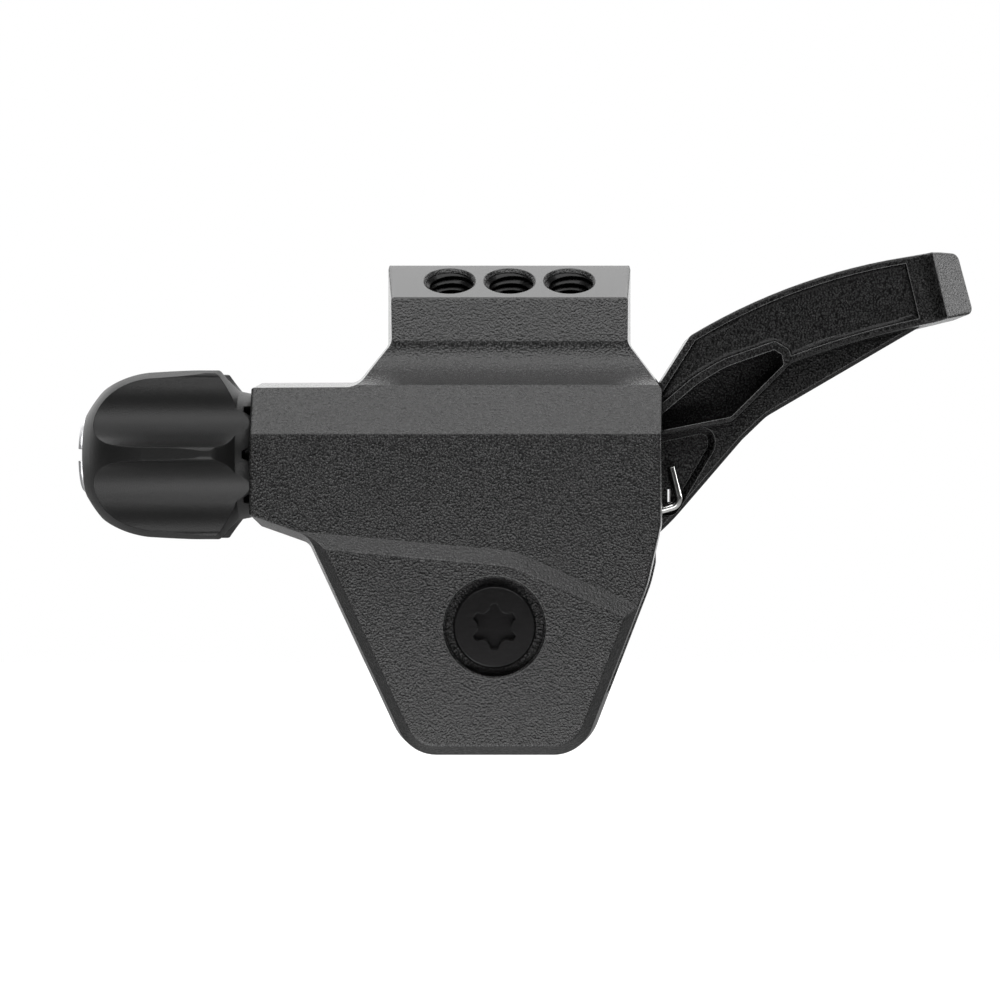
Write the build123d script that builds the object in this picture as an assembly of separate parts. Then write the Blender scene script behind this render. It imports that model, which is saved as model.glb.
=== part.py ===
from build123d import *
from math import asin, atan2, cos, degrees, radians, sin, tan
import os

# Dropper post remote lever, in millimetres.
# The origin is the mouth of the middle clamp hole. +X runs along the handlebar towards
# the thumb lever, +Z points up to the handlebar, and -Y is the front with the pivot bolt.

# Running fits and seats
FIT = 0.02
SLIDE = 0.05
GAP = 0.12

# Clamp boss
CLAMP_TILT = 33.5
CLAMP_DEPTH = 7.2
BOSS_HALF_WIDTH = 12.68
HOLE_PITCH = 6.2
HOLE_R = 2.45
HOLE_DEPTH = 6.4
HOLE_TIP = 0.6
HOLE_CHAMFER = 0.3
HOLE_COUNT = 3

# Housing casting
FRONT_Y = -9.2
BACK_Y = 6.4
PARTING_Y = 2.6
CABLE_Y = -1.6
DRAFT = 5.5
BOSS_FOOT_Y = -4.1
BOSS_FOOT_Z = -6.5
COVE_Y = -6.8
COVE_Z = -11.1
BEVEL_Z = -16.1
NECK_X = -26.1
NECK_TOP_Z = -10.6
NECK_LOW_Z = -25.4
SHOULDER_LEFT_X = -15.84
SHOULDER_LEFT_Z = -10.4
SHOULDER_RIGHT_X = 16.25
SHOULDER_RIGHT_Z = -11.2
WAIST_X = -20.97
WAIST_Z = -27.22
SIDE_KNEE_Z = -25.24
FLANK_X = 14.85
FLANK_Z = -31.44
BASE_LEFT_X = -10.66
BASE_RIGHT_X = 7.95
BASE_Z = -49.33
BASE_CORNER_R = 5.2
SHOULDER_R = 1.5
FOOT_R = 0.9
WAIST_R = 1.3
KNEE_R = 4.0
FLANK_R = 12.0
REAR_EAR_X = 15.3
CLAMP_RIM_Z = -2.2
EDGE_R = 0.3

# Raised pad round the pivot bolt
PAD_HEIGHT = 1.2
PAD_SIDE_TAPER = 40
PAD_TOP_TAPER = 51
PAD_LEFT_Z = -25.9
PAD_BEND_X = 0.45
PAD_BEND_Z = -27.87
PAD_RIGHT_X = 16.0
PAD_RIGHT_Z = -34.75
PAD_BEND_R = 8.8

# Pocket for the lever
POCKET_WIDTH = 7.2
POCKET_LEFT_X = -9.9
POCKET_TOP_Z = -13.8
POCKET_LOW_R = 7.2
POCKET_CORNER_R = 4.0
POCKET_EDGE_R = 1.0
NOTCH_X = 11.6
NOTCH_GAP = 0.45

# Pivot
PIVOT_X = -1.53
PIVOT_Z = -35.38
PIVOT_R = 2.5
PIVOT_HEAD_R = 4.15
PIVOT_HEAD_HEIGHT = 2.6
PIVOT_HEAD_SUNK = 0.55
PIVOT_HEAD_CHAMFER = 0.2
PIVOT_END_GAP = 0.4
COUNTERBORE_R = 4.95
COUNTERBORE_CHAMFER = 0.2
SOCKET_R = 2.3
SOCKET_VALLEY_R = 1.66
SOCKET_LOBE_CUT_R = 0.86
SOCKET_TIP_R = 0.3
SOCKET_DEPTH = 1.8
SOCKET_LOBES = 6

# Cartridge bearings
BEARING_R = 4.0
BEARING_WIDTH = 2.5
BALL_R = 0.58
BALL_COUNT = 8
RING_WALL = 0.45
SHIELD_THICK = 0.15
SHIELD_INSET = 0.1
WASHER_THICK = 0.3
WASHER_R = 3.1

# Thumb lever
HUB_R = 5.2
HUB_SIDE_GAP = 0.4
SEAT_LAND_R = 3.45
WEB_THICK = 2.8
WEB_SET_BACK = 0.2
WEB_EDGE = 0.4
LEVER_FRONT_Y = -4.8
LEVER_BACK_Y = 5.4
ANCHOR_ARM = 17.5
ANCHOR_ANGLE = -13.0
ANCHOR_R = 2.5
ANCHOR_WALL = 1.1
ANCHOR_CHAMFER = 0.25
ANCHOR_SCREW_R = 1.5
ANCHOR_KEY = 1.5
ANCHOR_ACCESS = 0.5
CABLE_HOLE_R = 0.9
CABLE_SLOT_REACH = 8.0
CABLE_SLOT_WIDTH = 2.4
CABLE_SLOT_HEIGHT = 4.2

# Thumb blade seen from the front
ROOT_X = 12.9
ROOT_TOP_Z = -14.6
ROOT_LOW_Z = -16.6
ARM_KNEE_X = 18.4
ARM_KNEE_Z = -5.95
ARM_KNEE_R = 1.2
BLADE_TOP_MID_X = 30.5
BLADE_TOP_MID_Z = -0.35
BLADE_TOP_X = 43.8
BLADE_TOP_Z = 2.5
TIP_TOP_X = 45.95
TIP_TOP_Z = 2.6
TIP_TOP_R = 0.9
TIP_LOW_X = 47.65
TIP_LOW_Z = -3.55
TIP_LOW_R = 0.7
BLADE_LOW_X = 43.1
BLADE_LOW_Z = -4.65
BLADE_LOW_MID_X = 36.0
BLADE_LOW_MID_Z = -6.35
RIM_BEND_X = 28.7
RIM_BEND_Z = -8.75
RIM_LOW_X = 22.75
RIM_LOW_Z = -14.65
RIM_LOW_R = 1.4

# Lip at the blade's end, and the scoop, ridge and hollow of its front
LIP_X = 43.25
LIP_Z = -1.15
LIP_LEAN = 13.5
LIP_Y = -6.5
LIP_FOOT = 2.3
LIP_CREST = 0.3
LIP_SLOPE = 50.0
RIM_WIDTH = 0.7
BLADE_EDGE_R = 0.3
SCOOP_DEPTH = 0.6
SCOOP_EDGE_R = 0.5
RIDGE_LEFT_X = 10.9
RIDGE_LEFT_Z = -16.8
RIDGE_LOW_X = 18.75
RIDGE_LOW_Z = -10.1
RIDGE_MID_X = 21.6
RIDGE_MID_Z = -8.4
RIDGE_HIGH_X = 27.0
RIDGE_HIGH_Z = -6.5
RIDGE_END_X = 28.5
RIDGE_END_Z = -7.4
RIDGE_WIDTH = 0.85
RIDGE_BEND_R = 8.0
RIDGE_NOSE_R = 0.7
HOLLOW_X = 14.2
HOLLOW_Y = 0.4
RIM_WALL = 0.45
ARM_BACK_X = 16.9
GRIP_BACK_X = 21.5

# Web of the lever seen from the front
WEB_FOOT_X = 2.86
WEB_FOOT_Z = 4.16
WEB_BEND_X = 16.9
WEB_BEND_Z = -24.75
WEB_BEND_R = 20.0
WEB_KNEE_X = 24.0
WEB_KNEE_Z = -16.5
WEB_KNEE_R = 2.5
WEB_RISE_X = 26.5
WEB_RISE_Z = -14.1
WEB_RISE_R = 4.0
WEB_TIP_X = 43.3
WEB_TIP_Z = -4.3
WEB_TIP_TOP_Z = -2.5
WEB_TOP_X = 21.0
WEB_TOP_Z = -9.0
RECESS_DEPTH = 0.7
RECESS_TAPER = 45.0
RECESS_LEFT_X = 13.4
RECESS_TOP_X = 20.5
RECESS_TOP_Z = -15.7
RECESS_SIDE_Z = -17.2
RECESS_LOW_X = 17.3
RECESS_LOW_Z = -22.6
RECESS_FOOT_Z = -23.6
RECESS_R = 0.7
EYE_WIDTH = 0.25
EYE_TOP_Z = -21.6
EYE_LOW_Z = -22.9

# Return spring
SPRING_WIRE_R = 0.42
SPRING_R = 6.2
SPRING_TURNS = 3
SPRING_HOOK_X = 17.55
SPRING_HOOK_Z = -23.15
SPRING_TIP_X = 16.6
SPRING_TIP_Z = -19.3
SPRING_BEND_R = 0.9
SPRING_FIXED_LEG = 5.6
SPRING_HOLE_DEPTH = 1.4
SPRING_TURN_GAP = 0.06

# Barrel adjuster
AXIS_Z = -18.13
KNOB_LENGTH = 17.1
KNOB_R = 9.68
KNOB_CREST_A = 4.6
KNOB_BACK_A = 3.2
KNOB_BACK_R = 0.7
KNOB_RIM_R = 6.3
KNOB_RIM_ROOT_R = 6.75
KNOB_RIM_A = 1.4
KNOB_FRONT_A = 10.4
KNOB_FRONT_R = 9.25
KNOB_DOME_A = 13.9
KNOB_DOME_R = 7.95
KNOB_NOSE_A = 16.1
KNOB_NOSE_R = 5.9
KNOB_END_R = 4.4
FLUTE_COUNT = 6
FLUTE_R = 5.0
FLUTE_FLOOR_R = 6.3
FLUTE_EDGE_R = 0.45
NOTCH_COUNT = 8
NOTCH_MOUTH = 1.5
NOTCH_FLOOR = 0.7
NOTCH_DEPTH = 0.7
NOTCH_INNER_R = 4.4
NOTCH_REACH = 4.0
BARREL_R = 3.1
BARREL_PROUD = 0.5
BARREL_LENGTH = 8.2
BARREL_CHAMFER = 0.25
FLANGE_R = 3.85
FLANGE_LENGTH = 1.6
SLOT_WIDTH = 1.2
SLOT_DEPTH = 0.5
KEY_WIDTH = 1.2
KEY_HEIGHT = 0.4
KEY_SETBACK = 2.0
KEY_END_GAP = 0.3
THREAD_R = 2.45
THREAD_END_X = -14.5
CONDUIT_R = 2.15
CONDUIT_DEPTH = 6.0
KNOB_WEB = 3.0
COIL_WIRE_R = 0.22
COIL_R = 2.85
COIL_TURNS = 6
ORING_R = 0.42
ORING_GAP = 0.1

POCKET_FRONT_Y = CABLE_Y - POCKET_WIDTH / 2
POCKET_BACK_Y = CABLE_Y + POCKET_WIDTH / 2
PAD_Y = FRONT_Y - PAD_HEIGHT
HEAD_Y = PAD_Y + PIVOT_HEAD_SUNK
SEAT_Y = HEAD_Y + PIVOT_HEAD_HEIGHT
ANCHOR_X = PIVOT_X + ANCHOR_ARM * sin(radians(ANCHOR_ANGLE))
ANCHOR_Z = PIVOT_Z + ANCHOR_ARM * cos(radians(ANCHOR_ANGLE))
KNOB_X = NECK_X - GAP
WEB_FRONT_Y = CABLE_Y + WEB_SET_BACK
WEB_BACK_Y = WEB_FRONT_Y + WEB_THICK
FAR = 60


def upright(y):
    """A drawing plane parallel to the front face, with its outward side towards -Y."""
    return Plane.XZ.offset(-y)


def rounded(corners):
    """A closed outline from corners given as x, z and corner radius."""
    face = make_face(Polyline([(x, z) for x, z, r in corners], close=True))
    for x, z, r in corners:
        if r:
            corner = face.vertices().sort_by_distance((x, z, 0))[0]
            face = fillet(corner, r)
    return face


def slab(face, back, front, taper=0):
    """An outline pulled from the plane y = back towards the front plane."""
    return extrude(upright(back) * face, amount=back - front, taper=taper)


def along_y(radius, start, end, x=PIVOT_X, z=PIVOT_Z):
    """A cylinder with its axis along Y."""
    return slab(Pos(x, z) * Circle(radius), end, start)


def tube_y(outer, inner, start, end, x=PIVOT_X, z=PIVOT_Z):
    return along_y(outer, start, end, x, z) - along_y(inner, start - 1, end + 1, x, z)


def along_x(radius, start, end):
    """A cylinder on the axis of the barrel adjuster."""
    plane = Plane(origin=(start, CABLE_Y, AXIS_Z), x_dir=(0, 1, 0), z_dir=(1, 0, 0))
    return extrude(plane * Circle(radius), amount=end - start)


def body_outline():
    """The housing seen from the front, at its parting line."""
    slope = (NECK_LOW_Z - WAIST_Z) / (NECK_X - WAIST_X)
    return rounded([
        (2 * NECK_X, NECK_TOP_Z, 0),
        (SHOULDER_LEFT_X, SHOULDER_LEFT_Z, SHOULDER_R),
        (-BOSS_HALF_WIDTH, BOSS_FOOT_Z, FOOT_R),
        (-BOSS_HALF_WIDTH, CLAMP_DEPTH, 0),
        (BOSS_HALF_WIDTH, CLAMP_DEPTH, 0),
        (BOSS_HALF_WIDTH, BOSS_FOOT_Z, FOOT_R),
        (SHOULDER_RIGHT_X, SHOULDER_RIGHT_Z, SHOULDER_R),
        (SHOULDER_RIGHT_X, SIDE_KNEE_Z, KNEE_R),
        (FLANK_X, FLANK_Z, FLANK_R),
        (BASE_RIGHT_X, BASE_Z, BASE_CORNER_R),
        (BASE_LEFT_X, BASE_Z, BASE_CORNER_R),
        (WAIST_X, WAIST_Z, WAIST_R),
        (2 * NECK_X, NECK_LOW_Z + NECK_X * slope, 0),
    ])


def clamp_point(depth, height=0):
    """A point of the side profile, measured along and above the sloping clamp face."""
    c = cos(radians(CLAMP_TILT))
    s = sin(radians(CLAMP_TILT))
    return (depth * c - height * s, depth * s + height * c)


def side_profile():
    """The housing seen from the side: clamp face, cove, bevel, front and back."""
    clamp_front = clamp_point(-CLAMP_DEPTH / 2)
    clamp_back = clamp_point(CLAMP_DEPTH / 2)
    back_drop = (BACK_Y - clamp_back[0]) / tan(radians(CLAMP_TILT))
    with BuildLine() as line:
        Line(clamp_back, clamp_front)
        Line(clamp_front, (BOSS_FOOT_Y, BOSS_FOOT_Z))
        TangentArc((BOSS_FOOT_Y, BOSS_FOOT_Z), (COVE_Y, COVE_Z), tangent=(0, -1))
        Line((COVE_Y, COVE_Z), (FRONT_Y, BEVEL_Z))
        Polyline((FRONT_Y, BEVEL_Z), (FRONT_Y, -FAR), (BACK_Y, -FAR),
                 (BACK_Y, clamp_back[1] - back_drop), clamp_back)
    return make_face(line.line)


def pad():
    """The raised pad with its bevels, narrow at the sides and wider along the top."""
    inset = (PARTING_Y - FRONT_Y) * tan(radians(DRAFT))
    body = offset(body_outline(), amount=-inset, kind=Kind.INTERSECTION)
    slope = (PAD_LEFT_Z - PAD_BEND_Z) / (WAIST_X - PAD_BEND_X)
    below = rounded([
        (-FAR, PAD_LEFT_Z - (FAR + WAIST_X) * slope, 0),
        (PAD_BEND_X, PAD_BEND_Z, PAD_BEND_R),
        (PAD_RIGHT_X, PAD_RIGHT_Z, 0),
        (FAR, PAD_RIGHT_Z - FAR, 0),
        (FAR, -2 * FAR, 0),
        (-FAR, -2 * FAR, 0),
    ])
    sides = slab(body, FRONT_Y, PAD_Y, PAD_SIDE_TAPER)
    top = slab(below, FRONT_Y, PAD_Y, PAD_TOP_TAPER)
    return sides & top


def pocket():
    """The pocket that the lever turns in, open to the right, and its notch for the lever's root."""
    low = PIVOT_Z - POCKET_LOW_R
    face = rounded([
        (POCKET_LEFT_X, POCKET_TOP_Z, POCKET_EDGE_R),
        (FAR, POCKET_TOP_Z, 0),
        (FAR, low, 0),
        (POCKET_LEFT_X, low, POCKET_CORNER_R),
    ])
    rise = (ARM_KNEE_Z - ROOT_TOP_Z) / (ARM_KNEE_X - ROOT_X)
    foot_x = ROOT_X - NOTCH_GAP
    foot_z = ROOT_TOP_Z + NOTCH_GAP / 2
    notch = make_face(Polyline(
        (NOTCH_X, POCKET_TOP_Z - POCKET_EDGE_R),
        (NOTCH_X, foot_z),
        (foot_x, foot_z),
        (foot_x + FAR / rise, foot_z + FAR),
        (2 * FAR, foot_z + FAR),
        (2 * FAR, POCKET_TOP_Z - POCKET_EDGE_R), close=True))
    return slab(face, POCKET_BACK_Y, POCKET_FRONT_Y) + slab(notch, POCKET_BACK_Y, POCKET_FRONT_Y)


def clamp_holes():
    """Three countersunk holes square to the clamp face."""
    normal = (0, -sin(radians(CLAMP_TILT)), cos(radians(CLAMP_TILT)))
    cuts = Part()
    for i in range(HOLE_COUNT):
        x = (i - (HOLE_COUNT - 1) / 2) * HOLE_PITCH
        plane = Plane(origin=(x, 0, 0), x_dir=(1, 0, 0), z_dir=normal)
        drill = Cylinder(HOLE_R, HOLE_DEPTH, align=(Align.CENTER, Align.CENTER, Align.MAX))
        mouth = Cone(HOLE_R, HOLE_R + HOLE_CHAMFER, HOLE_CHAMFER,
                     align=(Align.CENTER, Align.CENTER, Align.MAX))
        tip = Pos(0, 0, -HOLE_DEPTH) * Cone(0, HOLE_R, HOLE_TIP,
                                            align=(Align.CENTER, Align.CENTER, Align.MAX))
        cuts += plane * (drill + mouth + tip)
    return cuts


def shell():
    """The drafted casting: two halves from the parting line, cut to the side profile."""
    outline = body_outline()
    front = slab(outline, PARTING_Y, FRONT_Y, DRAFT)
    rear = mirror(slab(outline, PARTING_Y, 2 * PARTING_Y - BACK_Y, DRAFT), upright(PARTING_Y))
    side = extrude(Plane.YZ.offset(-FAR) * side_profile(), amount=2 * FAR)
    return (front + rear) & side


def casting():
    """The solid casting with its pad, and with the edges rounded that the hand meets."""
    body = shell()
    rim = [edge for edge in body.edges() if edge.bounding_box().min.Z > CLAMP_RIM_Z]
    body = fillet(rim, EDGE_R) + pad()
    trim = Box(FAR, FAR, FAR, align=(Align.MAX, Align.CENTER, Align.CENTER))
    body -= Pos(NECK_X, 0, AXIS_Z) * trim
    pad_rim = [edge for edge in body.edges() if abs(edge.center().Y - PAD_Y) < GAP]
    body = fillet(pad_rim, EDGE_R)
    neck_end = [edge for edge in body.edges() if edge.bounding_box().max.X < NECK_X + GAP]
    body = fillet(neck_end, EDGE_R)
    right_front = [edge for edge in body.edges()
                   if abs(edge.center().Y - FRONT_Y) < GAP and edge.center().X > BOSS_HALF_WIDTH]
    return fillet(right_front, EDGE_R)


def housing():
    """The clevis casting with its clamp boss, neck, ears, pad and pocket."""
    body = casting()
    body -= pocket()
    ear = Box(FAR, FAR, FAR, align=(Align.MIN, Align.MIN, Align.MAX))
    body -= Pos(REAR_EAR_X, POCKET_FRONT_Y, SHOULDER_RIGHT_Z - SHOULDER_R) * ear
    body -= clamp_holes()
    body -= along_y(COUNTERBORE_R, PAD_Y - 1, SEAT_Y)
    body -= Pos(PIVOT_X, PAD_Y, PIVOT_Z) * Rot(-90, 0, 0) * Cone(
        COUNTERBORE_R + COUNTERBORE_CHAMFER, COUNTERBORE_R, COUNTERBORE_CHAMFER,
        align=(Align.CENTER, Align.CENTER, Align.MIN))
    body -= along_y(PIVOT_R + SLIDE, SEAT_Y - 1, POCKET_FRONT_Y + 1)
    body -= along_y(PIVOT_R + FIT, POCKET_BACK_Y - 1, BACK_Y + 1)
    body -= along_y(ANCHOR_R + ANCHOR_ACCESS, POCKET_BACK_Y - 1, BACK_Y + 1, ANCHOR_X, ANCHOR_Z)
    hole_x, hole_z = spring_fixed_end()
    body -= along_y(SPRING_WIRE_R + GAP, POCKET_FRONT_Y - SPRING_HOLE_DEPTH, CABLE_Y, hole_x, hole_z)
    body -= along_x(THREAD_R + SLIDE, NECK_X - 1, POCKET_LEFT_X + 1)
    seal = 2 * ORING_R + ORING_GAP
    body -= along_x(THREAD_R + seal, NECK_X - 1, NECK_X + seal)
    return body


def socket_outline():
    """The six-lobed drive recess."""
    lobe_at = SOCKET_VALLEY_R + SOCKET_LOBE_CUT_R
    face = Circle(SOCKET_R)
    for i in range(SOCKET_LOBES):
        face -= Rot(0, 0, 30 + 360 / SOCKET_LOBES * i) * Pos(lobe_at, 0) * Circle(SOCKET_LOBE_CUT_R)
    return Rot(0, 0, 30) * fillet(face.vertices(), SOCKET_TIP_R)


def pivot_bolt():
    head = along_y(PIVOT_HEAD_R, HEAD_Y, SEAT_Y)
    head = chamfer(head.faces().sort_by(Axis.Y)[0].edges(), PIVOT_HEAD_CHAMFER)
    bolt = head + along_y(PIVOT_R, SEAT_Y - 1, BACK_Y - PIVOT_END_GAP)
    recess = slab(Pos(PIVOT_X, PIVOT_Z) * socket_outline(), HEAD_Y + SOCKET_DEPTH, HEAD_Y - 1)
    return bolt - recess


def bearing(front):
    """One cartridge bearing from its front face: rings, balls and shields."""
    middle = front + BEARING_WIDTH / 2
    bore = PIVOT_R + FIT
    pitch = (bore + BEARING_R) / 2
    groove = Torus(pitch, BALL_R + FIT)
    groove = Pos(PIVOT_X, middle, PIVOT_Z) * Rot(90, 0, 0) * groove
    inner = tube_y(bore + RING_WALL, bore, front, front + BEARING_WIDTH) - groove
    outer = tube_y(BEARING_R, BEARING_R - RING_WALL, front, front + BEARING_WIDTH) - groove
    balls = []
    for i in range(BALL_COUNT):
        turn = radians(360 / BALL_COUNT * i)
        place = Pos(PIVOT_X + pitch * cos(turn), middle, PIVOT_Z + pitch * sin(turn))
        balls.append(place * Sphere(BALL_R))
    shields = []
    for start in (front + SHIELD_INSET, front + BEARING_WIDTH - SHIELD_INSET - SHIELD_THICK):
        shields.append(tube_y(BEARING_R - RING_WALL - FIT, bore + RING_WALL + SLIDE,
                              start, start + SHIELD_THICK))
    return inner, outer, Compound(children=balls), Compound(children=shields)


def blade_outline():
    """The thumb blade seen from the front."""
    with BuildLine() as line:
        Polyline((ROOT_X, ROOT_LOW_Z), (ROOT_X, ROOT_TOP_Z), (ARM_KNEE_X, ARM_KNEE_Z))
        ThreePointArc((ARM_KNEE_X, ARM_KNEE_Z), (BLADE_TOP_MID_X, BLADE_TOP_MID_Z),
                      (BLADE_TOP_X, BLADE_TOP_Z))
        Polyline((BLADE_TOP_X, BLADE_TOP_Z), (TIP_TOP_X, TIP_TOP_Z), (TIP_LOW_X, TIP_LOW_Z),
                 (BLADE_LOW_X, BLADE_LOW_Z))
        ThreePointArc((BLADE_LOW_X, BLADE_LOW_Z), (BLADE_LOW_MID_X, BLADE_LOW_MID_Z),
                      (RIM_BEND_X, RIM_BEND_Z))
        Polyline((RIM_BEND_X, RIM_BEND_Z), (RIM_LOW_X, RIM_LOW_Z), (ROOT_X, ROOT_LOW_Z))
    face = make_face(line.line)
    for x, z, r in ((TIP_TOP_X, TIP_TOP_Z, TIP_TOP_R), (TIP_LOW_X, TIP_LOW_Z, TIP_LOW_R),
                    (RIM_LOW_X, RIM_LOW_Z, RIM_LOW_R), (ARM_KNEE_X, ARM_KNEE_Z, ARM_KNEE_R)):
        face = fillet(face.vertices().sort_by_distance((x, z, 0))[0], r)
    return face


def web_outline():
    """The flat web of the lever, from the anchor arm and hub out under the blade."""
    boss_r = ANCHOR_R + SLIDE + ANCHOR_WALL
    return rounded([
        (PIVOT_X - HUB_R / 2, PIVOT_Z - HUB_R / 2, 0),
        (PIVOT_X + WEB_FOOT_X, PIVOT_Z - WEB_FOOT_Z, 0),
        (WEB_BEND_X, WEB_BEND_Z, WEB_BEND_R),
        (WEB_KNEE_X, WEB_KNEE_Z, WEB_KNEE_R),
        (WEB_RISE_X, WEB_RISE_Z, WEB_RISE_R),
        (WEB_TIP_X, WEB_TIP_Z, 0),
        (WEB_TIP_X, WEB_TIP_TOP_Z, 0),
        (WEB_TOP_X, WEB_TOP_Z, 0),
        (ROOT_X, ROOT_TOP_Z, 0),
        (ANCHOR_X + boss_r / 2, ANCHOR_Z + boss_r / 2, 0),
        (ANCHOR_X - boss_r / 2, ANCHOR_Z + boss_r / 2, 0),
        (ANCHOR_X - boss_r / 2, ANCHOR_Z, 0),
    ])


def recess_outline():
    """The shallow recess in the web where the spring's hook lies, at its floor."""
    return rounded([
        (RECESS_LEFT_X, RECESS_SIDE_Z, RECESS_R),
        (RECESS_TOP_X, RECESS_TOP_Z, RECESS_R),
        (RECESS_TOP_X, RECESS_SIDE_Z, RECESS_R),
        (RECESS_LOW_X, RECESS_LOW_Z, RECESS_R),
        (RECESS_LOW_X - EYE_WIDTH, RECESS_FOOT_Z, RECESS_R / 2),
        (RECESS_LEFT_X, RECESS_FOOT_Z, RECESS_R),
    ])


def lip_relief():
    """What is cleared in front of the blade so that its end stands up as a lip."""
    end_x = FAR - LIP_X
    with BuildLine() as line:
        Line((-FAR, LEVER_FRONT_Y), (-LIP_FOOT, LEVER_FRONT_Y))
        TangentArc((-LIP_FOOT, LEVER_FRONT_Y), (0, LIP_Y + LIP_CREST), tangent=(1, 0))
        Polyline((0, LIP_Y + LIP_CREST), (LIP_CREST, LIP_Y),
                 (end_x, LIP_Y + (end_x - LIP_CREST) * tan(radians(LIP_SLOPE))),
                 (end_x, -FAR), (-FAR, -FAR), (-FAR, LEVER_FRONT_Y))
    cut = extrude(Plane.XY.offset(-FAR) * make_face(line.line), amount=2 * FAR)
    return Pos(LIP_X, 0, LIP_Z) * Rot(0, -LIP_LEAN, 0) * cut


def ridge_region():
    """Everything below the ridge's crest line, as far as the ridge's end."""
    return rounded([
        (RIDGE_LEFT_X, RIDGE_LEFT_Z, 0),
        (RIDGE_LOW_X, RIDGE_LOW_Z, RIDGE_BEND_R),
        (RIDGE_MID_X, RIDGE_MID_Z, RIDGE_BEND_R),
        (RIDGE_HIGH_X, RIDGE_HIGH_Z, RIDGE_NOSE_R),
        (RIDGE_END_X, RIDGE_END_Z, RIDGE_NOSE_R),
        (RIM_BEND_X, RIM_BEND_Z, 0),
        (RIM_BEND_X, RIDGE_LEFT_Z - RIDGE_WIDTH, 0),
        (RIDGE_LEFT_X, RIDGE_LEFT_Z - RIDGE_WIDTH, 0),
    ])


def scoop():
    """The soft-edged scoop in the blade's front, above the ridge and short of the lip."""
    face = offset(blade_outline(), amount=-RIM_WIDTH, kind=Kind.INTERSECTION) - ridge_region()
    face -= Pos(LIP_X - LIP_FOOT, LIP_Z) * Rot(0, 0, LIP_LEAN) * Rectangle(
        FAR, FAR, align=(Align.MIN, Align.CENTER))
    cut = slab(face, LEVER_FRONT_Y + SCOOP_DEPTH, LEVER_FRONT_Y - SLIDE)
    return fillet(cut.faces().sort_by(Axis.Y)[-1].edges(), SCOOP_EDGE_R)


def hollow():
    """The deep hollow between the ridge and the blade's lower rim."""
    face = offset(blade_outline(), amount=-RIM_WALL, kind=Kind.INTERSECTION)
    face &= offset(ridge_region(), amount=-RIDGE_WIDTH, kind=Kind.INTERSECTION)
    face &= Pos(HOLLOW_X, 0) * Rectangle(FAR, 2 * FAR, align=(Align.MIN, Align.CENTER))
    return slab(face, HOLLOW_Y, LEVER_FRONT_Y - 1)


def blade():
    """The thumb blade with its lip, scoop, ridge and hollow."""
    block = slab(blade_outline(), LEVER_BACK_Y, LIP_Y) - lip_relief()
    rim = [edge for edge in block.edges() if edge.bounding_box().max.Y < 0 and (
        edge.center().X < LIP_X - 2 * LIP_FOOT or edge.center().X > TIP_TOP_X
        or abs(edge.center().Z - LIP_Z) > LIP_FOOT)]
    block = fillet(rim, BLADE_EDGE_R)
    behind = extrude(Plane.XY.offset(-FAR) * make_face(Polyline(
        (0, WEB_BACK_Y), (ARM_BACK_X, WEB_BACK_Y), (GRIP_BACK_X, LEVER_BACK_Y),
        (GRIP_BACK_X, FAR), (0, FAR), close=True)), amount=2 * FAR)
    return block - behind - scoop()


def thumb_lever():
    """The forged lever: blade, web, bearing hub and seat for the cable anchor."""
    hub_front = POCKET_FRONT_Y + HUB_SIDE_GAP
    hub_back = POCKET_BACK_Y - HUB_SIDE_GAP
    web = slab(web_outline(), WEB_BACK_Y, WEB_FRONT_Y)
    web = chamfer(web.faces().sort_by(Axis.Y)[0].edges(), WEB_EDGE)
    body = web + blade()
    body += along_y(HUB_R, hub_front, hub_back)
    body += along_y(ANCHOR_R + SLIDE + ANCHOR_WALL, hub_front, hub_back, ANCHOR_X, ANCHOR_Z)
    body -= hollow()
    front_seat = POCKET_FRONT_Y + WASHER_THICK + BEARING_WIDTH
    back_seat = POCKET_BACK_Y - WASHER_THICK - BEARING_WIDTH
    body -= along_y(BEARING_R + FIT, hub_front - 1, front_seat)
    body -= along_y(BEARING_R + FIT, back_seat, hub_back + 1)
    body -= along_y(SEAT_LAND_R, hub_front - 1, hub_back + 1)
    body -= along_y(ANCHOR_R + SLIDE, hub_front - 1, hub_back + 1, ANCHOR_X, ANCHOR_Z)
    slot = Box(CABLE_SLOT_REACH, CABLE_SLOT_WIDTH, CABLE_SLOT_HEIGHT,
               align=(Align.MAX, Align.CENTER, Align.CENTER))
    body -= Pos(ANCHOR_X, CABLE_Y, ANCHOR_Z) * slot
    body -= slab(recess_outline(), WEB_FRONT_Y + RECESS_DEPTH, WEB_FRONT_Y - SLIDE, -RECESS_TAPER)
    eye = Pos(SPRING_TIP_X, EYE_LOW_Z) * Rectangle(EYE_WIDTH, EYE_TOP_Z - EYE_LOW_Z,
                                                   align=(Align.MAX, Align.MIN))
    body -= slab(eye, WEB_BACK_Y + 1, WEB_FRONT_Y)
    return body


def cable_anchor():
    """The swivelling barrel that holds the cable, with its cross hole and screw hole."""
    start = POCKET_FRONT_Y + HUB_SIDE_GAP + GAP
    end = POCKET_BACK_Y - HUB_SIDE_GAP - GAP
    barrel = along_y(ANCHOR_R, start, end, ANCHOR_X, ANCHOR_Z)
    barrel = chamfer(barrel.edges(), ANCHOR_CHAMFER)
    plane = Plane(origin=(ANCHOR_X - 2 * ANCHOR_R, CABLE_Y, ANCHOR_Z), x_dir=(0, 1, 0), z_dir=(1, 0, 0))
    barrel -= extrude(plane * Circle(CABLE_HOLE_R), amount=4 * ANCHOR_R)
    barrel -= along_y(ANCHOR_SCREW_R + FIT, CABLE_Y, end + 1, ANCHOR_X, ANCHOR_Z)
    return barrel


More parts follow.
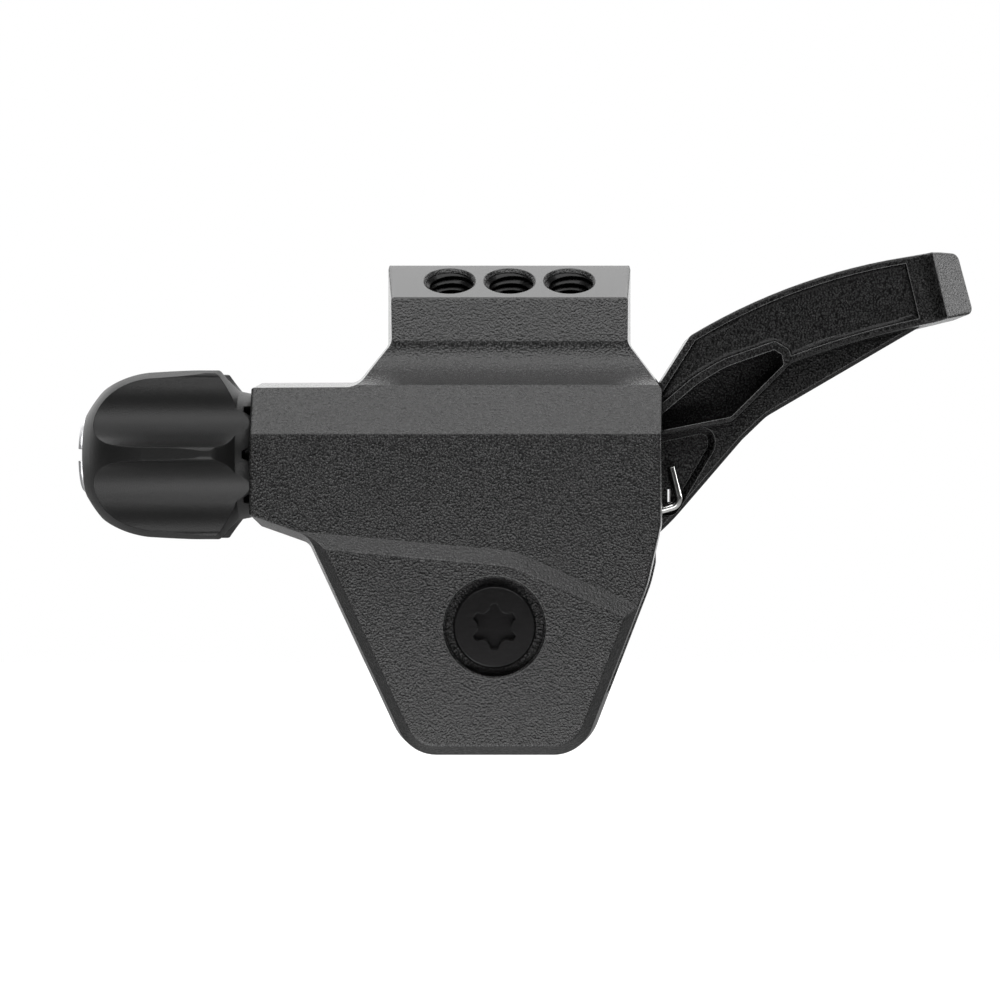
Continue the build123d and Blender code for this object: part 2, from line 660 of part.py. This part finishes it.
def anchor_screw():
    """The headless screw that pinches the cable, with its hexagon socket."""
    end = POCKET_BACK_Y - HUB_SIDE_GAP - GAP
    start = CABLE_Y + CABLE_HOLE_R + GAP
    screw = along_y(ANCHOR_SCREW_R, start, end, ANCHOR_X, ANCHOR_Z)
    key = Pos(ANCHOR_X, ANCHOR_Z) * RegularPolygon(ANCHOR_KEY / 2, 6, major_radius=False)
    return screw - slab(key, end + 1, end - ANCHOR_KEY)


def coil(radius, wire_radius, length, turns):
    """A helical coil on the Z axis that starts at the origin's plane on +X."""
    path = Helix(pitch=length / turns, height=length, radius=radius)
    section = Plane(origin=path @ 0, z_dir=path % 0) * Circle(wire_radius)
    return sweep(section, path=path, is_frenet=True)


def spring_leave_angle():
    """The angle round the pivot at which the spring's legs leave the coil."""
    reach = ((SPRING_HOOK_X - PIVOT_X) ** 2 + (SPRING_HOOK_Z - PIVOT_Z) ** 2) ** 0.5
    aim = degrees(atan2(SPRING_HOOK_Z - PIVOT_Z, SPRING_HOOK_X - PIVOT_X))
    return aim - degrees(asin(SPRING_R / reach)) + 90


def spring_fixed_end():
    """Where the spring's housing leg turns into its hole in the front ear."""
    leave = radians(spring_leave_angle())
    x = PIVOT_X + SPRING_R * cos(leave) - SPRING_FIXED_LEG * sin(leave)
    z = PIVOT_Z + SPRING_R * sin(leave) + SPRING_FIXED_LEG * cos(leave)
    return x, z


def return_spring():
    """The torsion spring on the lever's hub, with its hooked leg and its housing leg."""
    leave = spring_leave_angle()
    pitch = 2 * SPRING_WIRE_R + SPRING_TURN_GAP
    leg_y = WEB_FRONT_Y - SPRING_WIRE_R - SPRING_TURN_GAP
    length = pitch * SPRING_TURNS
    turned = Rot(90, 0, 0) * coil(SPRING_R, SPRING_WIRE_R, length, SPRING_TURNS)
    body = Pos(PIVOT_X, leg_y, PIVOT_Z) * Rot(0, -leave, 0) * turned
    start = (PIVOT_X + SPRING_R * cos(radians(leave)), leg_y, PIVOT_Z + SPRING_R * sin(radians(leave)))
    bend = (SPRING_HOOK_X, leg_y, SPRING_HOOK_Z)
    tip = (SPRING_TIP_X, leg_y, SPRING_TIP_Z)
    path = FilletPolyline(start, bend, tip, radius=SPRING_BEND_R)
    section = Plane(origin=start, z_dir=path % 0) * Circle(SPRING_WIRE_R)
    body += sweep(section, path=path)
    back = (start[0], leg_y - length, start[2])
    end_x, end_z = spring_fixed_end()
    end = (end_x, back[1], end_z)
    turn_in = (end_x, POCKET_FRONT_Y - SPRING_HOLE_DEPTH + SLIDE, end_z)
    path = FilletPolyline(back, end, turn_in, radius=SPRING_BEND_R)
    section = Plane(origin=back, z_dir=path % 0) * Circle(SPRING_WIRE_R)
    return body + sweep(section, path=path)


def knob_profile():
    """Half of the knob's section, measured from its end face at the housing."""
    with BuildLine() as line:
        Polyline((0, 0), (0, KNOB_RIM_R), (-KNOB_RIM_A, KNOB_RIM_ROOT_R), (-KNOB_BACK_A, KNOB_R),
                 (-KNOB_CREST_A, KNOB_R), (-KNOB_FRONT_A, KNOB_FRONT_R))
        ThreePointArc((-KNOB_FRONT_A, KNOB_FRONT_R), (-KNOB_DOME_A, KNOB_DOME_R),
                      (-KNOB_NOSE_A, KNOB_NOSE_R))
        TangentArc((-KNOB_NOSE_A, KNOB_NOSE_R), (-KNOB_LENGTH, KNOB_END_R), tangent=line.line % 1)
        Polyline((-KNOB_LENGTH, KNOB_END_R), (-KNOB_LENGTH, 0), (0, 0))
    face = make_face(line.line)
    return fillet(face.vertices().sort_by_distance((-KNOB_BACK_A, KNOB_R, 0))[0], KNOB_BACK_R)


def at_knob():
    return Pos(KNOB_X, CABLE_Y, AXIS_Z)


def knob_bore():
    """The knob's stepped and keyed bore."""
    start = Plane.YZ.offset(-KNOB_LENGTH - 1)
    reach = KNOB_LENGTH + 1 - KNOB_WEB
    bore = extrude(start * Circle(BARREL_R + SLIDE), amount=reach)
    keys = Rectangle(KEY_WIDTH + 2 * SLIDE, 2 * (BARREL_R + KEY_HEIGHT + SLIDE))
    bore += extrude(start * keys, amount=reach)
    seat = FLANGE_LENGTH - BARREL_PROUD + GAP
    bore += extrude(start * Circle(FLANGE_R + SLIDE), amount=1 + seat)
    return bore + extrude(start * Circle(THREAD_R + SLIDE), amount=KNOB_LENGTH + 2)


def detent_notches():
    """The ring of notches in the knob's rim."""
    face = make_face(Polyline(
        (1, NOTCH_MOUTH / 2), (0, NOTCH_MOUTH / 2), (-NOTCH_DEPTH, NOTCH_FLOOR / 2),
        (-NOTCH_DEPTH, -NOTCH_FLOOR / 2), (0, -NOTCH_MOUTH / 2), (1, -NOTCH_MOUTH / 2), close=True))
    cut = extrude(Plane.XY.offset(NOTCH_INNER_R) * face, amount=NOTCH_REACH)
    cuts = Part()
    for i in range(NOTCH_COUNT):
        cuts += Rot(360 / NOTCH_COUNT * i, 0, 0) * cut
    return cuts


def adjuster_knob():
    """The fluted knob with its detent notches and keyed bore."""
    lobes = Circle(KNOB_R)
    flute_at = FLUTE_FLOOR_R + FLUTE_R
    for i in range(FLUTE_COUNT):
        lobes -= Rot(0, 0, 360 / FLUTE_COUNT * i) * Pos(flute_at, 0) * Circle(FLUTE_R)
    lobes = fillet(lobes.vertices(), FLUTE_EDGE_R)
    start = Plane.YZ.offset(-KNOB_LENGTH - 1)
    form = revolve(knob_profile(), Axis.X)
    form &= extrude(start * (Rot(0, 0, 180 / FLUTE_COUNT) * lobes), amount=KNOB_LENGTH + 2)
    return at_knob() * (form - detent_notches() - knob_bore())


def adjuster_bolt():
    """The threaded barrel that carries the end of the cable casing."""
    left = -KNOB_LENGTH - BARREL_PROUD
    start = Plane.YZ.offset(left)
    flange = extrude(start * Circle(FLANGE_R), amount=FLANGE_LENGTH)
    flange = chamfer(flange.faces().sort_by(Axis.X)[0].edges(), BARREL_CHAMFER)
    body = flange + extrude(start * Circle(BARREL_R), amount=BARREL_LENGTH)
    keys = Rectangle(KEY_WIDTH, 2 * (BARREL_R + KEY_HEIGHT))
    body += extrude(Plane.YZ.offset(left + KEY_SETBACK) * keys,
                    amount=BARREL_LENGTH - KEY_SETBACK - KEY_END_GAP)
    shank_end = THREAD_END_X - KNOB_X
    body += extrude(Plane.YZ.offset(left + BARREL_LENGTH / 2) * Circle(THREAD_R),
                    amount=shank_end - left - BARREL_LENGTH / 2)
    body -= extrude(start * Circle(CONDUIT_R), amount=CONDUIT_DEPTH)
    body -= extrude(start * Circle(CABLE_HOLE_R), amount=shank_end - left + 1)
    body -= extrude(start * Rectangle(2 * FAR, SLOT_WIDTH), amount=SLOT_DEPTH)
    return at_knob() * body


def adjuster_spring():
    """The coil spring that presses the knob to the housing."""
    low = -KNOB_LENGTH - BARREL_PROUD + BARREL_LENGTH + COIL_WIRE_R + SLIDE
    high = -KNOB_WEB - COIL_WIRE_R - SLIDE
    return at_knob() * Pos(low, 0, 0) * Rot(0, 90, 0) * coil(COIL_R, COIL_WIRE_R, high - low, COIL_TURNS)


def adjuster_o_ring():
    ring = Rot(0, 90, 0) * Torus(THREAD_R + ORING_R + SLIDE, ORING_R)
    return Pos(NECK_X + ORING_R + SLIDE, CABLE_Y, AXIS_Z) * ring


def main():
    os.makedirs("parts", exist_ok=True)
    parts = {}
    parts["housing"] = housing()
    parts["pivot_bolt"] = pivot_bolt()
    parts["thumb_lever"] = thumb_lever()
    bore = PIVOT_R + FIT
    front_ring_y = POCKET_FRONT_Y + WASHER_THICK
    back_ring_y = POCKET_BACK_Y - WASHER_THICK - BEARING_WIDTH
    parts["front_washer"] = tube_y(WASHER_R, bore, POCKET_FRONT_Y, front_ring_y)
    parts["rear_washer"] = tube_y(WASHER_R, bore, back_ring_y + BEARING_WIDTH, POCKET_BACK_Y)
    parts["bearing_spacer"] = tube_y(WASHER_R, bore, front_ring_y + BEARING_WIDTH, back_ring_y)
    for side, start in (("front", front_ring_y), ("rear", back_ring_y)):
        inner, outer, balls, shields = bearing(start)
        parts[f"{side}_inner_ring"] = inner
        parts[f"{side}_outer_ring"] = outer
        parts[f"{side}_balls"] = balls
        parts[f"{side}_shields"] = shields
    parts["return_spring"] = return_spring()
    parts["cable_anchor"] = cable_anchor()
    parts["anchor_screw"] = anchor_screw()
    parts["adjuster_knob"] = adjuster_knob()
    parts["adjuster_bolt"] = adjuster_bolt()
    parts["adjuster_spring"] = adjuster_spring()
    parts["adjuster_o_ring"] = adjuster_o_ring()
    for name, shape in parts.items():
        export_step(shape, f"parts/{name}.step")


main()
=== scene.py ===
from math import cos, pi, radians, sin

import bpy
from mathutils import Euler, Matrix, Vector


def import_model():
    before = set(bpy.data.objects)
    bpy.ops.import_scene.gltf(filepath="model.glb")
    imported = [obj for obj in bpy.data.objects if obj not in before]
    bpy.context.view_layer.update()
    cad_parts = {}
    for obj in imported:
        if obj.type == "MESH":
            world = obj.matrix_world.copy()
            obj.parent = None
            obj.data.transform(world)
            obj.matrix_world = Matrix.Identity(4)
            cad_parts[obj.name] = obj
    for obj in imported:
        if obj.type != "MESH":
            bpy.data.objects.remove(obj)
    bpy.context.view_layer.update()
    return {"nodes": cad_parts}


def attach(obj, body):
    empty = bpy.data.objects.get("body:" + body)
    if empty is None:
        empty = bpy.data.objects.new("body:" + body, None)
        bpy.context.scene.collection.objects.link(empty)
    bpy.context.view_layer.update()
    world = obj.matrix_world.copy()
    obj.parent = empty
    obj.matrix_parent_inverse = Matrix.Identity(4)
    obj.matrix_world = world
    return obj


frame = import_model()

MM = 0.001

# Camera: level with the middle of the photo, square to the housing's front face
FRONT_Y = -9.2 * MM
CENTRE_X = -0.985 * MM
CENTRE_Z = -22.706 * MM
CAMERA_DISTANCE = 250 * MM
PHOTO_SIDE = 100 * MM
CLIP_START = 10 * MM
SENSOR = 36.0

# Clamp holes, as in the solids, with M5 threads square to the clamp face
CLAMP_TILT = radians(33.5)
HOLE_PITCH = 6.2 * MM
HOLE_R = 2.45 * MM
THREAD_R = 2.1 * MM
THREAD_PITCH = 0.8 * MM
THREAD_TOP = 0.45 * MM
THREAD_END = 6.0 * MM
THREAD_SINK = 0.03 * MM
THREAD_FOOT = 0.44      # half the ridge's width at its foot, in pitches
THREAD_CREST = 0.07     # and at its crest
THREAD_STEPS = 48       # a turn
THREAD_GROWTH = 3       # the ridge reaches its full height in a third of a turn

# Rounded edges of the materials, with the painted highlight on outward edges and the painted shade in creases
EDGE = 0.16 * MM
METAL_EDGE = 0.1 * MM
EDGE_HIGHLIGHT_TURN = (0.86, 0.99)        # cosine between face and rounded normal, from edge to flat, for the painted edge highlight
EDGE_HIGHLIGHT_OPEN = (0.75, 0.95)        # openness, from a crease to an outward edge, where the painted highlight goes
CREASE_SHADE_OPEN = (0.72, 0.97)      # openness, from a deep crease to a flat face, for the painted shade in the creases
# colour of the painted shade in the creases
CREASE_SHADE_TONE = 0.0002
OPENNESS_REACH = 4 * EDGE

# Mould grain of the castings: the scales are in waves a grain
GRAIN = 0.20 * MM
GRAIN_DEPTH = 0.045 * MM
GRAIN_SMOOTHNESS = 0.6
GRAIN_WARP_SCALE = 0.5
GRAIN_WARP_SHIFT = 0.8
GRAIN_FINE_SCALE = 2.2
GRAIN_FINE_SHARE = 0.6
GRAIN_HEIGHTS = (0.45, 1.0)
GRAIN_TONE_HEIGHTS = (0.5, 0.95)
CAST_ROUGHNESS = (0.21, 0.25)
CAST_TONES = (0.020, 0.0005)
SMOOTH_DEPTH = (-0.06 * MM, -0.03 * MM)     # where the grain fades out under the clamp face

# Satin plastic of the knob
PLASTIC_GRAIN_SCALE = 7000.0
PLASTIC_GRAIN_DEPTH = 0.03 * MM
PLASTIC_GRAIN_STRENGTH = 0.7
PLASTIC_ROUGHNESS = 0.38
PLASTIC_SPECULAR = 0.26
PLASTIC_TONES = (0.005, 0.010)

# Rubber of the seal
RUBBER_NOISE_SCALE = 4000.0
RUBBER_ROUGHNESS = 0.75
RUBBER_TONES = (0.012, 0.022)

# Turned and drawn metals: the lines' waves a metre along x, y and z
METAL_LINES = (900, 900, 5000)
METAL_LINE_DEPTH = 0.004 * MM
METAL_LINE_STRENGTH = 0.3
METAL_GLOSS_SPREAD = (0.8, 1.25)

# Stage and studio
FLOOR_Z = -0.30
FLOOR_REACH = 4.0
FLOOR_TONE = 0.6
FLOOR_LIFT = 0.9
WORLD_FRONT = 0.06
WORLD_BEHIND = 1.6
WORLD_TURN = (0.22, 0.48)       # share of the direction that points away, from dim to bright
SOFTBOXES = {                   # azimuth, elevation, distance, width, height, radiance
    "back_top": (0, 114, 0.40, 0.55, 0.22, 2.3),
    "top": (0, 79, 0.40, 0.55, 0.10, 2.6),
    "front_top": (0, 47, 0.45, 0.70, 0.24, 4.1),
    "front_low": (0, -22, 0.15, 0.16, 0.03, 6.0),
    "low_left": (-24, -52, 0.16, 0.06, 0.09, 5.5),
    "right": (100, 14, 0.30, 0.12, 0.07, 7.0),
}


def grey(tone):
    """A neutral colour."""
    return (tone, tone, tone)


METALS = {
    "black_steel": {"dark": grey(0.002), "light": grey(0.006), "roughness": 0.2,
                    "metallic": 0.0, "specular": 0.3},
    "cut_thread": {"dark": grey(0.004), "light": grey(0.008), "roughness": 0.25,
                   "metallic": 0.0, "specular": 0.2},
    "brass": {"dark": (0.55, 0.42, 0.18), "light": (0.66, 0.51, 0.24), "roughness": 0.3},
    "barrel_alloy": {"dark": (0.50, 0.50, 0.51), "light": (0.62, 0.62, 0.63), "roughness": 0.32},
    "spacer_alloy": {"dark": (0.45, 0.45, 0.46), "light": (0.55, 0.55, 0.56), "roughness": 0.35},
    "spring_wire": {"dark": (0.56, 0.56, 0.55), "light": (0.70, 0.70, 0.69), "roughness": 0.16},
    "bright_steel": {"dark": grey(0.52), "light": grey(0.66), "roughness": 0.22},
    "shield_steel": {"dark": (0.38, 0.38, 0.39), "light": (0.48, 0.48, 0.49), "roughness": 0.35},
}


def link(obj):
    """Puts an object into the scene."""
    bpy.context.scene.collection.objects.link(obj)


def material(name):
    """A new material with its node tree and its Principled shader."""
    mat = bpy.data.materials.new(name)
    mat.use_nodes = True
    return mat, mat.node_tree, mat.node_tree.nodes["Principled BSDF"]


def put(tree, value, socket):
    """Sets an input to a value, or links it to an output."""
    if isinstance(value, bpy.types.NodeSocket):
        tree.links.new(value, socket)
    else:
        socket.default_value = value


def node(tree, kind, **values):
    """A shader node with its properties set, and its inputs set or linked."""
    made = tree.nodes.new(kind)
    for key, value in values.items():
        if key in made.inputs:
            put(tree, value, made.inputs[key])
        else:
            setattr(made, key, value)
    return made


def number(tree, operation, *values, kind="ShaderNodeMath"):
    """The number that one maths node makes of values and outputs."""
    made = node(tree, kind, operation=operation)
    for value, socket in zip(values, made.inputs):
        put(tree, value, socket)
    return made.outputs["Value"]


def position(tree):
    """The object's own coordinates, which are metres in the part's frame."""
    return node(tree, "ShaderNodeTexCoord").outputs["Object"]


def noise(tree, at, scale, detail):
    """A noise texture at a place."""
    return node(tree, "ShaderNodeTexNoise", Vector=at, Scale=scale, Detail=detail).outputs


def ramp(tree, source, start, end, low, high):
    """A linear map of one number, from start and end to low and high."""
    made = node(tree, "ShaderNodeMapRange", clamp=True, Value=source)
    for key, value in (("From Min", start), ("From Max", end), ("To Min", low), ("To Max", high)):
        made.inputs[key].default_value = value
    return made.outputs["Result"]


def soft_edges(tree, radius=EDGE):
    """The normal with every sharp edge rounded off."""
    return node(tree, "ShaderNodeBevel", samples=4, Radius=radius).outputs["Normal"]


def bump(tree, shader, height, depth, strength, radius=EDGE):
    """Raises the shader's surface by a height, over its rounded edges."""
    made = node(tree, "ShaderNodeBump", Distance=depth, Strength=strength, Height=height,
                Normal=soft_edges(tree, radius))
    put(tree, made.outputs["Normal"], shader.inputs["Normal"])


def tint(tree, shader, factor, first, second):
    """Colours the shader between two colours or outputs."""
    mix = node(tree, "ShaderNodeMix", data_type="RGBA", Factor=factor, A=first, B=second)
    put(tree, mix.outputs["Result"], shader.inputs["Base Color"])


def tone(tree, shader, factor, first, second):
    """Colours the shader between two plain colours."""
    tint(tree, shader, factor, (*first, 1), (*second, 1))


def grain_height(tree):
    """Leather-like mould grain: fine cells broken up by noise."""
    at = position(tree)
    warp = noise(tree, at, GRAIN_WARP_SCALE / GRAIN, 2.0)["Color"]
    offset = node(tree, "ShaderNodeVectorMath", operation="SCALE", Vector=warp, Scale=GRAIN * GRAIN_WARP_SHIFT)
    moved = node(tree, "ShaderNodeVectorMath", operation="ADD", Vector=at)
    put(tree, offset.outputs["Vector"], moved.inputs[1])
    cells = node(tree, "ShaderNodeTexVoronoi", feature="SMOOTH_F1", Vector=moved.outputs["Vector"],
                 Scale=1 / GRAIN, Smoothness=GRAIN_SMOOTHNESS)
    fine = noise(tree, at, GRAIN_FINE_SCALE / GRAIN, 3.0)["Fac"]
    return number(tree, "MULTIPLY_ADD", fine, GRAIN_FINE_SHARE, cells.outputs["Distance"])


def paint_crease_shade_and_edge_highlight(tree, shader, edge_highlight_tone):
    """Paints shade into the shader's colour in the creases, and paints a highlight onto the outward edges
    where light would catch the small rounds.
    """
    face = node(tree, "ShaderNodeNewGeometry").outputs["Normal"]
    turn = number(tree, "DOT_PRODUCT", face, soft_edges(tree), kind="ShaderNodeVectorMath")
    openness = node(tree, "ShaderNodeAmbientOcclusion", samples=4, Distance=OPENNESS_REACH).outputs["AO"]
    crease_shade = ramp(tree, openness, *CREASE_SHADE_OPEN, 1.0, 0.0)
    edge = ramp(tree, turn, *EDGE_HIGHLIGHT_TURN, 1.0, 0.0)
    edge_highlight = number(tree, "MULTIPLY", edge, ramp(tree, openness, *EDGE_HIGHLIGHT_OPEN, 0.0, 1.0))
    # first the painted shade in the creases, then the painted highlight on the outward edges
    for factor, shade in ((crease_shade, CREASE_SHADE_TONE), (edge_highlight, edge_highlight_tone)):
        colour = shader.inputs["Base Color"].links[0].from_socket
        tint(tree, shader, factor, colour, (*grey(shade), 1))


def grain_mask(tree):
    """1 where the casting has its grain, and 0 on the machined clamp face."""
    normal = Vector((0, 0, 1))
    normal.rotate(Euler((CLAMP_TILT, 0, 0)))
    above = number(tree, "DOT_PRODUCT", position(tree), normal, kind="ShaderNodeVectorMath")
    return ramp(tree, above, *SMOOTH_DEPTH, 1.0, 0.0)


def cast_black(name, specular, edge_highlight_tone, smooth_face=False):
    """Black anodised casting with mould grain, smooth on the machined clamp face if it has one."""
    mat, tree, shader = material(name)
    shader.inputs["Specular IOR Level"].default_value = specular
    height = grain_height(tree)
    groove = ramp(tree, height, *GRAIN_TONE_HEIGHTS, 0.0, 1.0)
    strength = 1.0
    if smooth_face:
        strength = grain_mask(tree)
        groove = number(tree, "MULTIPLY", groove, strength)
    bump(tree, shader, height, GRAIN_DEPTH, strength)
    put(tree, ramp(tree, height, *GRAIN_HEIGHTS, *CAST_ROUGHNESS), shader.inputs["Roughness"])
    tone(tree, shader, groove, *map(grey, CAST_TONES))
    # painted shade in the creases and painted highlight on the edges
    paint_crease_shade_and_edge_highlight(tree, shader, edge_highlight_tone)
    return mat


def knob_plastic():
    """Satin black plastic."""
    mat, tree, shader = material("knob_plastic")
    shader.inputs["Roughness"].default_value = PLASTIC_ROUGHNESS
    shader.inputs["Specular IOR Level"].default_value = PLASTIC_SPECULAR
    height = noise(tree, position(tree), PLASTIC_GRAIN_SCALE, 3.0)["Fac"]
    bump(tree, shader, height, PLASTIC_GRAIN_DEPTH, PLASTIC_GRAIN_STRENGTH)
    tone(tree, shader, height, *map(grey, PLASTIC_TONES))
    return mat


def rubber():
    """Dull black rubber."""
    mat, tree, shader = material("seal_rubber")
    shader.inputs["Roughness"].default_value = RUBBER_ROUGHNESS
    speckle = noise(tree, position(tree), RUBBER_NOISE_SCALE, 3.0)["Fac"]
    tone(tree, shader, speckle, *map(grey, RUBBER_TONES))
    return mat


def metal(name, dark, light, roughness, metallic=1.0, specular=0.5):
    """Turned or drawn metal with fine lines."""
    mat, tree, shader = material(name)
    shader.inputs["Metallic"].default_value = metallic
    shader.inputs["Specular IOR Level"].default_value = specular
    stretch = node(tree, "ShaderNodeVectorMath", operation="MULTIPLY", Vector=position(tree))
    stretch.inputs[1].default_value = METAL_LINES
    lines = noise(tree, stretch.outputs["Vector"], 1.0, 4.0)["Fac"]
    gloss = [roughness * spread for spread in METAL_GLOSS_SPREAD]
    put(tree, ramp(tree, lines, 0.0, 1.0, *gloss), shader.inputs["Roughness"])
    bump(tree, shader, lines, METAL_LINE_DEPTH, METAL_LINE_STRENGTH, METAL_EDGE)
    tone(tree, shader, lines, dark, light)
    return mat


METAL = {name: metal(name, **look) for name, look in METALS.items()}
LOOKS = {
    # the third number is the tone of the painted edge highlight
    "housing": cast_black("housing_black", 0.47, 0.06, smooth_face=True),
    "thumb_lever": cast_black("lever_black", 0.22, 0.18),
    "adjuster_knob": knob_plastic(),
    "adjuster_o_ring": rubber(),
    "pivot_bolt": METAL["black_steel"],
    "anchor_screw": METAL["black_steel"],
    "cable_anchor": METAL["brass"],
    "adjuster_bolt": METAL["barrel_alloy"],
    "bearing_spacer": METAL["spacer_alloy"],
    "return_spring": METAL["spring_wire"],
    "adjuster_spring": METAL["spring_wire"],
    "front_shields": METAL["shield_steel"],
    "rear_shields": METAL["shield_steel"],
}

for name, obj in frame["nodes"].items():
    obj.data.materials.clear()
    obj.data.materials.append(LOOKS.get(name, METAL["bright_steel"]))


def clamp_thread(name, x):
    """The ridge of one hole's internal thread, sunk a little into the hole's wall."""
    steps = int((THREAD_END - THREAD_TOP) / THREAD_PITCH * THREAD_STEPS)
    tilt = Euler((CLAMP_TILT, 0, 0))
    foot = HOLE_R + THREAD_SINK
    profile = ((foot, THREAD_FOOT), (THREAD_R, THREAD_CREST), (THREAD_R, -THREAD_CREST), (foot, -THREAD_FOOT))
    corners = len(profile)
    verts, faces = [], []
    for i in range(steps + 1):
        turns = i / THREAD_STEPS
        angle = 2 * pi * turns
        grown = min(1.0, THREAD_GROWTH * turns, THREAD_GROWTH * (steps - i) / THREAD_STEPS)
        for radius, lift in profile:
            r = foot + (radius - foot) * grown
            depth = THREAD_TOP + THREAD_PITCH * (turns - lift * grown)
            point = Vector((r * cos(angle), r * sin(angle), -depth))
            point.rotate(tilt)
            verts.append(point + Vector((x, 0, 0)))
    for i in range(steps):
        for k in range(corners):
            a, b = i * corners + k, i * corners + (k + 1) % corners
            faces.append((a, b, b + corners, a + corners))
    faces.append(tuple(reversed(range(corners))))
    faces.append(tuple(range(steps * corners, (steps + 1) * corners)))
    mesh = bpy.data.meshes.new(name)
    mesh.from_pydata(verts, [], faces)
    mesh.materials.append(METAL["cut_thread"])
    obj = bpy.data.objects.new(name, mesh)
    link(obj)
    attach(obj, "housing")


for side, place in (("left", -HOLE_PITCH), ("middle", 0), ("right", HOLE_PITCH)):
    clamp_thread("clamp_thread_" + side, place)


def seen_directly(tree):
    """1 for rays from the camera, straight or through something clear."""
    paths = node(tree, "ShaderNodeLightPath").outputs
    return number(tree, "MAXIMUM", paths["Is Camera Ray"], paths["Is Transmission Ray"])


def floor():
    """A pale floor that the camera sees nearly white, with the object's shadow kept."""
    mat, tree, _ = material("floor_pale")
    tree.nodes.clear()
    diffuse = node(tree, "ShaderNodeBsdfDiffuse", Color=(*grey(FLOOR_TONE), 1))
    lift = number(tree, "MULTIPLY", seen_directly(tree), FLOOR_LIFT)
    glow = node(tree, "ShaderNodeEmission", Color=(*grey(1), 1), Strength=lift)
    both = node(tree, "ShaderNodeAddShader")
    put(tree, diffuse.outputs["BSDF"], both.inputs[0])
    put(tree, glow.outputs["Emission"], both.inputs[1])
    node(tree, "ShaderNodeOutputMaterial", Surface=both.outputs["Shader"])
    mesh = bpy.data.meshes.new("floor")
    corners = [(x * FLOOR_REACH, y * FLOOR_REACH, FLOOR_Z) for x, y in ((-1, -1), (1, -1), (1, 1), (-1, 1))]
    mesh.from_pydata(corners, [], [(0, 1, 2, 3)])
    mesh.materials.append(mat)
    obj = bpy.data.objects.new("floor", mesh)
    link(obj)


def world():
    """White behind for the camera; for light, bright behind and dim in front and above."""
    made = bpy.data.worlds.new("studio")
    bpy.context.scene.world = made
    made.use_nodes = True
    tree = made.node_tree
    tree.nodes.clear()
    direction = node(tree, "ShaderNodeTexCoord").outputs["Generated"]
    away = node(tree, "ShaderNodeSeparateXYZ", Vector=direction).outputs["Y"]
    strength = ramp(tree, away, *WORLD_TURN, WORLD_FRONT, WORLD_BEHIND)
    studio = node(tree, "ShaderNodeBackground", Color=(*grey(1), 1), Strength=strength)
    white = node(tree, "ShaderNodeBackground", Color=(*grey(1), 1), Strength=1.0)
    mix = node(tree, "ShaderNodeMixShader", Fac=seen_directly(tree))
    put(tree, studio.outputs["Background"], mix.inputs[1])
    put(tree, white.outputs["Background"], mix.inputs[2])
    node(tree, "ShaderNodeOutputWorld", Surface=mix.outputs["Shader"])


def softbox(name, azimuth, elevation, distance, width, height, radiance):
    """A soft panel that faces the part: azimuth 0 is the front, elevation 90 is straight above."""
    a, e = radians(azimuth), radians(elevation)
    away = Vector((sin(a) * cos(e), -cos(a) * cos(e), sin(e)))
    light = bpy.data.lights.new(name, "AREA")
    light.shape = "RECTANGLE"
    light.size = width
    light.size_y = height
    light.energy = radiance * pi * width * height
    obj = bpy.data.objects.new(name, light)
    obj.location = Vector((0, 0, CENTRE_Z)) + away * distance
    obj.rotation_euler = away.to_track_quat("Z", "Y").to_euler()
    link(obj)


def camera():
    """The photo's camera, which looks along +Y."""
    data = bpy.data.cameras.new("camera")
    data.sensor_width = SENSOR
    data.lens = SENSOR * CAMERA_DISTANCE / PHOTO_SIDE
    data.clip_start = CLIP_START
    obj = bpy.data.objects.new("camera", data)
    obj.location = (CENTRE_X, FRONT_Y - CAMERA_DISTANCE, CENTRE_Z)
    obj.rotation_euler = (radians(90), 0, 0)
    link(obj)
    bpy.context.scene.camera = obj


camera()
floor()
world()
for name, setting in SOFTBOXES.items():
    softbox(name, *setting)

bpy.context.scene.view_settings.view_transform = "Standard"
